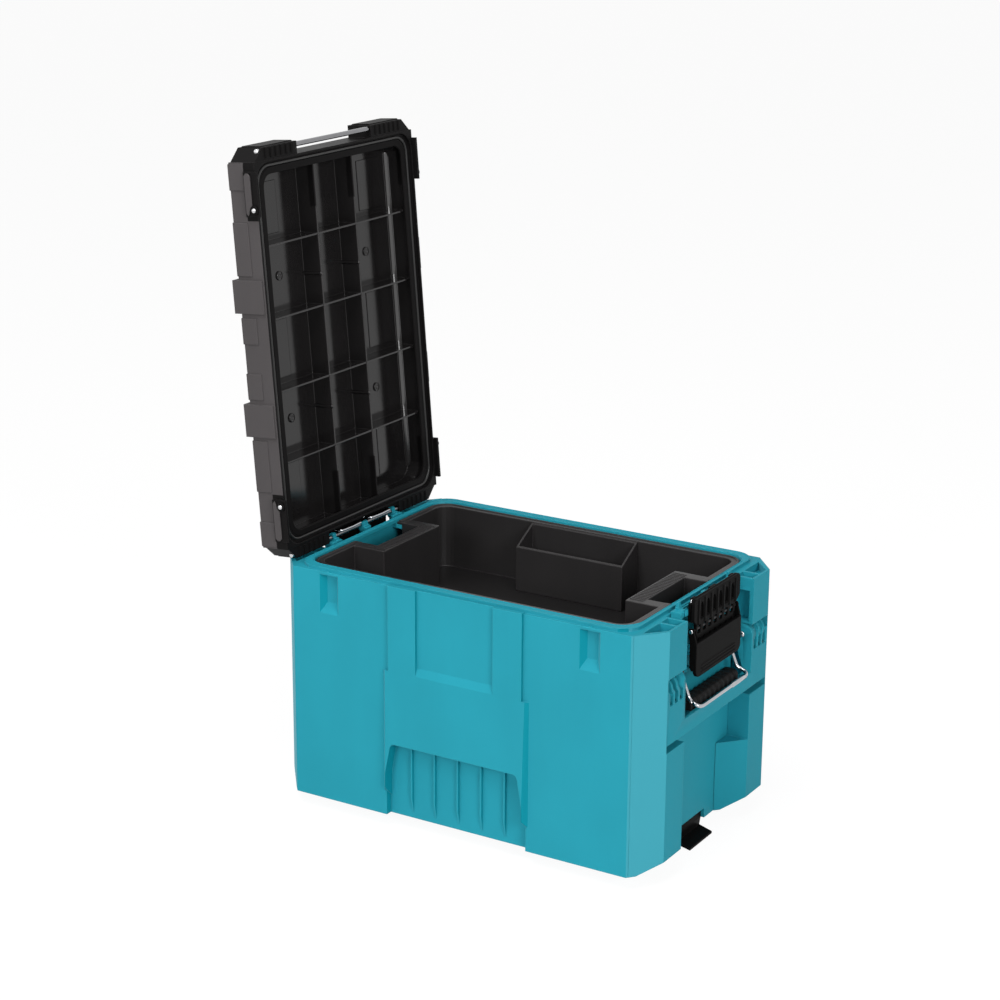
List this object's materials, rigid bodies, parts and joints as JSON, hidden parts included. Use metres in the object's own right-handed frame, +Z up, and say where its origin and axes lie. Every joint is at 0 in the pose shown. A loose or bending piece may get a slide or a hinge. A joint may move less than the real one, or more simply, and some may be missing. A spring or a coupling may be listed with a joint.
{
  "type": "tool case",
  "caption": "Deep stacking tool case with a lift-out tray, a ribbed lid that swings up at the end, wire-hook lever latches and swing-up end handles.",
  "frame": {"origin": "centre of the flat base under the case", "axes": "+X along the case towards the end with the shut latch, -Y towards the front face, +Z up"},
  "size_m": [0.6591, 0.3902, 0.9136],
  "materials": {
    "teal_shell": "fine moulded texture, satin",
    "teal_handle": "fine moulded texture, satin",
    "tray_plastic": "moulded, satin",
    "lid_plastic": "fine moulded texture, satin",
    "latch_plastic": "moulded, satin",
    "grip_rubber": "ribbed, matt",
    "seal_rubber": "smooth, matt",
    "bright_steel": "plated",
    "chromed_wire": "polished"
  },
  "bodies": {
    "case": {"case_body": "teal_shell", "latch_bracket_left": "teal_shell", "claw_pin_left": "bright_steel", "stacking_hook_left": "latch_plastic", "latch_bracket_right": "teal_shell", "claw_pin_right": "bright_steel", "stacking_hook_right": "latch_plastic", "corner_post_left_front": "teal_shell", "handle_pin_left_front": "bright_steel", "corner_post_left_back": "teal_shell", "handle_pin_left_back": "bright_steel", "corner_post_right_front": "teal_shell", "handle_pin_right_front": "bright_steel", "corner_post_right_back": "teal_shell", "handle_pin_right_back": "bright_steel"},
    "tray": {"liner_tray": "tray_plastic", "side_pocket": "tray_plastic"},
    "lid": {"lid_shell": "lid_plastic", "lid_seal": "seal_rubber", "lid_rod_hinge": "bright_steel", "lid_rod_latch": "bright_steel", "tab_pin_left_front": "bright_steel", "tab_pin_left_back": "bright_steel", "tab_pin_right_front": "bright_steel", "tab_pin_right_back": "bright_steel"},
    "claw_left": {"claw_left": "latch_plastic", "lever_pin_left": "bright_steel"},
    "lever_left": {"lever_left": "latch_plastic"},
    "hook_left": {"hook_wire_left": "chromed_wire"},
    "bail_left": {"bail_left": "chromed_wire"},
    "handle_left": {"handle_left": "teal_handle", "handle_grip_left": "grip_rubber"},
    "claw_right": {"claw_right": "latch_plastic", "lever_pin_right": "bright_steel"},
    "lever_right": {"lever_right": "latch_plastic"},
    "hook_right": {"hook_wire_right": "chromed_wire"},
    "bail_right": {"bail_right": "chromed_wire"},
    "handle_right": {"handle_right": "teal_handle", "handle_grip_right": "grip_rubber"}
  },
  "joints": [
    {"name": "lid_hinge", "type": "hinge", "parent": "case", "child": "lid", "pos_m": [-0.275, 0, 0.36], "axis": [0, -1, 0], "range_deg": [-94.66, 0]},
    {"name": "tray_lift", "type": "slide", "parent": "case", "child": "tray", "axis": [0, 0, 1], "range_m": [0, 0.3]},
    {"name": "claw_hinge_left", "type": "hinge", "parent": "case", "child": "claw_left", "pos_m": [-0.2816, 0, 0.297], "axis": [0, -1, 0], "range_deg": [0, 45]},
    {"name": "lever_hinge_left", "type": "hinge", "parent": "claw_left", "child": "lever_left", "pos_m": [-0.284, 0, 0.325], "axis": [0, 1, 0], "range_deg": [0, 112]},
    {"name": "hook_hinge_left", "type": "hinge", "parent": "claw_left", "child": "hook_left", "pos_m": [-0.2808, 0, 0.3665], "axis": [0, -1, 0], "range_deg": [0, 8]},
    {"name": "handle_hinge_left", "type": "hinge", "parent": "case", "child": "handle_left", "pos_m": [-0.28, 0, 0.271], "axis": [0, 1, 0], "range_deg": [0, 90]},
    {"name": "bail_hinge_left", "type": "hinge", "parent": "case", "child": "bail_left", "pos_m": [-0.2725, 0, 0.27], "axis": [0, 1, 0], "range_deg": [0, 95]},
    {"name": "claw_hinge_right", "type": "hinge", "parent": "case", "child": "claw_right", "pos_m": [0.2816, 0, 0.297], "axis": [0, 1, 0], "range_deg": [0, 45]},
    {"name": "lever_hinge_right", "type": "hinge", "parent": "claw_right", "child": "lever_right", "pos_m": [0.284, 0, 0.325], "axis": [0, -1, 0], "range_deg": [0, 112]},
    {"name": "hook_hinge_right", "type": "hinge", "parent": "claw_right", "child": "hook_right", "pos_m": [0.2808, 0, 0.3665], "axis": [0, 1, 0], "range_deg": [0, 90]},
    {"name": "handle_hinge_right", "type": "hinge", "parent": "case", "child": "handle_right", "pos_m": [0.28, 0, 0.271], "axis": [0, -1, 0], "range_deg": [0, 90]},
    {"name": "bail_hinge_right", "type": "hinge", "parent": "case", "child": "bail_right", "pos_m": [0.2725, 0, 0.27], "axis": [0, -1, 0], "range_deg": [0, 95]}
  ],
  "couplings": [
    {"joint": "lever_hinge_left", "follows": "claw_hinge_left", "ratio": 2.44},
    {"joint": "bail_hinge_left", "follows": "handle_hinge_left", "ratio": 1},
    {"joint": "lever_hinge_right", "follows": "claw_hinge_right", "ratio": 2.44},
    {"joint": "bail_hinge_right", "follows": "handle_hinge_right", "ratio": 1}
  ]
}
